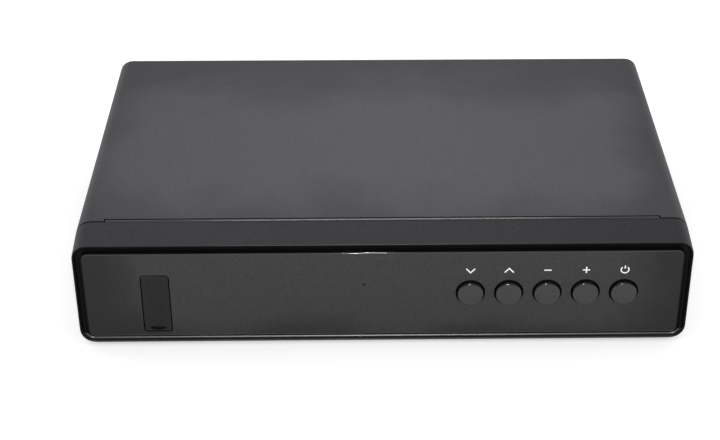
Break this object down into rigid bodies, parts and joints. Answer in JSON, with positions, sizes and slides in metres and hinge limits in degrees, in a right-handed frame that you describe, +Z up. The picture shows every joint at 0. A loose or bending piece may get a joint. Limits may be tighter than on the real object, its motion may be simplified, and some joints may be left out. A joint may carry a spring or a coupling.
{
  "type": "satellite receiver",
  "caption": "Compact satellite TV receiver: bent sheet housing, moulded front with a smooth window plate, round push buttons and a hinged USB flap, sockets at the back.",
  "frame": {"origin": "on the surface it stands on, under the middle of the whole receiver with its buttons and sockets", "axes": "+X to the right seen from the front, +Y from the front to the sockets at the back, +Z up"},
  "size_m": [0.1712, 0.122, 0.0333],
  "materials": {
    "cover_paint": "textured dark grey paint",
    "bezel_plastic": "finely textured dark grey",
    "window_plastic": "smooth dark grey",
    "button_plastic": "satin dark grey",
    "flap_plastic": "satin dark grey",
    "zinc_steel": "zinc plated sheet",
    "tin_plate": "tin plated sheet",
    "nickel": "nickel plated",
    "screw_steel": "black oxide",
    "foot_rubber": "soft black",
    "board_green": "green solder mask",
    "black_plastic": "moulded black",
    "white_plastic": "moulded white",
    "aluminium": "extruded",
    "light_epoxy": "clear red epoxy",
    "cable_film": "flexible film",
    "capacitor_sleeve": "shrunk sleeve"
  },
  "bodies": {
    "receiver": {"audio_left_sleeve": "nickel", "audio_right_sleeve": "nickel", "av_socket_block": "black_plastic", "channel_down_switch": "black_plastic", "channel_up_switch": "black_plastic", "chassis_base": "zinc_steel", "cover_screw_1": "screw_steel", "cover_screw_2": "screw_steel", "cover_screw_3": "screw_steel", "cover_screw_4": "screw_steel", "crystal": "tin_plate", "dc_inlet": "black_plastic", "digital_audio_block": "black_plastic", "digital_audio_sleeve": "nickel", "dish_input_socket": "nickel", "filter_capacitor_1": "capacitor_sleeve", "filter_capacitor_2": "capacitor_sleeve", "foot_1": "foot_rubber", "foot_2": "foot_rubber", "foot_3": "foot_rubber", "foot_4": "foot_rubber", "front_bezel": "bezel_plastic", "front_board_cable": "cable_film", "front_window": "window_plastic", "hdmi_socket": "tin_plate", "heat_sink": "aluminium", "infrared_receiver": "black_plastic", "key_board": "board_green", "key_board_plug": "white_plastic", "key_board_screw_1": "screw_steel", "key_board_screw_2": "screw_steel", "loop_output_socket": "nickel", "main_board": "board_green", "main_board_plug": "white_plastic", "main_board_screw_1": "screw_steel", "main_board_screw_2": "screw_steel", "main_board_screw_3": "screw_steel", "main_board_screw_4": "screw_steel", "main_chip": "black_plastic", "memory_chip": "black_plastic", "power_inductor": "black_plastic", "power_switch": "black_plastic", "standby_light": "light_epoxy", "top_cover": "cover_paint", "tuner_can": "tin_plate", "usb_socket": "tin_plate", "video_sleeve": "nickel", "volume_down_switch": "black_plastic", "volume_up_switch": "black_plastic"},
    "channel_down_key": {"channel_down_button": "button_plastic", "channel_down_switch_stem": "black_plastic"},
    "channel_up_key": {"channel_up_button": "button_plastic", "channel_up_switch_stem": "black_plastic"},
    "volume_down_key": {"volume_down_button": "button_plastic", "volume_down_switch_stem": "black_plastic"},
    "volume_up_key": {"volume_up_button": "button_plastic", "volume_up_switch_stem": "black_plastic"},
    "power_key": {"power_button": "button_plastic", "power_switch_stem": "black_plastic"},
    "usb_door": {"usb_flap": "flap_plastic"}
  },
  "joints": [
    {"name": "channel_down_press", "type": "slide", "parent": "receiver", "child": "channel_down_key", "axis": [0, 1, 0], "range_m": [0, 0.0005], "stiffness_N_per_m": 400, "springref_m": -0.001},
    {"name": "channel_up_press", "type": "slide", "parent": "receiver", "child": "channel_up_key", "axis": [0, 1, 0], "range_m": [0, 0.0005], "stiffness_N_per_m": 400, "springref_m": -0.001},
    {"name": "volume_down_press", "type": "slide", "parent": "receiver", "child": "volume_down_key", "axis": [0, 1, 0], "range_m": [0, 0.0005], "stiffness_N_per_m": 400, "springref_m": -0.001},
    {"name": "volume_up_press", "type": "slide", "parent": "receiver", "child": "volume_up_key", "axis": [0, 1, 0], "range_m": [0, 0.0005], "stiffness_N_per_m": 400, "springref_m": -0.001},
    {"name": "power_press", "type": "slide", "parent": "receiver", "child": "power_key", "axis": [0, 1, 0], "range_m": [0, 0.0005], "stiffness_N_per_m": 400, "springref_m": -0.001},
    {"name": "usb_flap_hinge", "type": "hinge", "parent": "receiver", "child": "usb_door", "pos_m": [-0.0619, -0.05905, 0.0225], "axis": [-1, 0, 0], "range_deg": [0, 90]}
  ]
}
